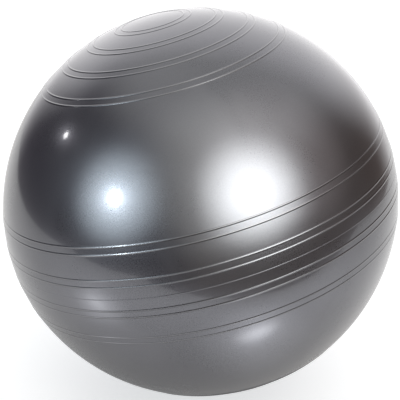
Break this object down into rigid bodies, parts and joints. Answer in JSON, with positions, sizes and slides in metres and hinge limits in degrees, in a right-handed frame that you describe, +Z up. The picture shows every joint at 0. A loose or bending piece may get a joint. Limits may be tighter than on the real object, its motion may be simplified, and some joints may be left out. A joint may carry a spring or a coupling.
{
  "type": "sitting ball",
  "caption": "Inflated sitting ball of soft grey PVC with paired grip rings round its poles and equator, standing on its floor flat, closed by a pull-out air plug.",
  "frame": {"origin": "on the floor, straight below the ball's centre, inside the flat patch that the ball stands on", "axes": "+Z up; the pole axis of the grip rings leans 13.8 degrees from +Z towards -X; the plain front faces -Y and the valve faces the back, +Y"},
  "size_m": [0.6497, 0.65, 0.6332],
  "materials": {
    "pvc_skin": "satin",
    "pvc_seat": "matte",
    "plug_plastic": "satin"
  },
  "bodies": {
    "ball": {"ball_skin": "pvc_skin", "valve_seat": "pvc_seat"},
    "plug": {"valve_plug": "plug_plastic"}
  },
  "joints": [
    {"name": "plug_pull", "type": "slide", "parent": "ball", "child": "plug", "axis": [-0.1299, 0.8387, 0.5289], "range_m": [0, 0.03]}
  ]
}
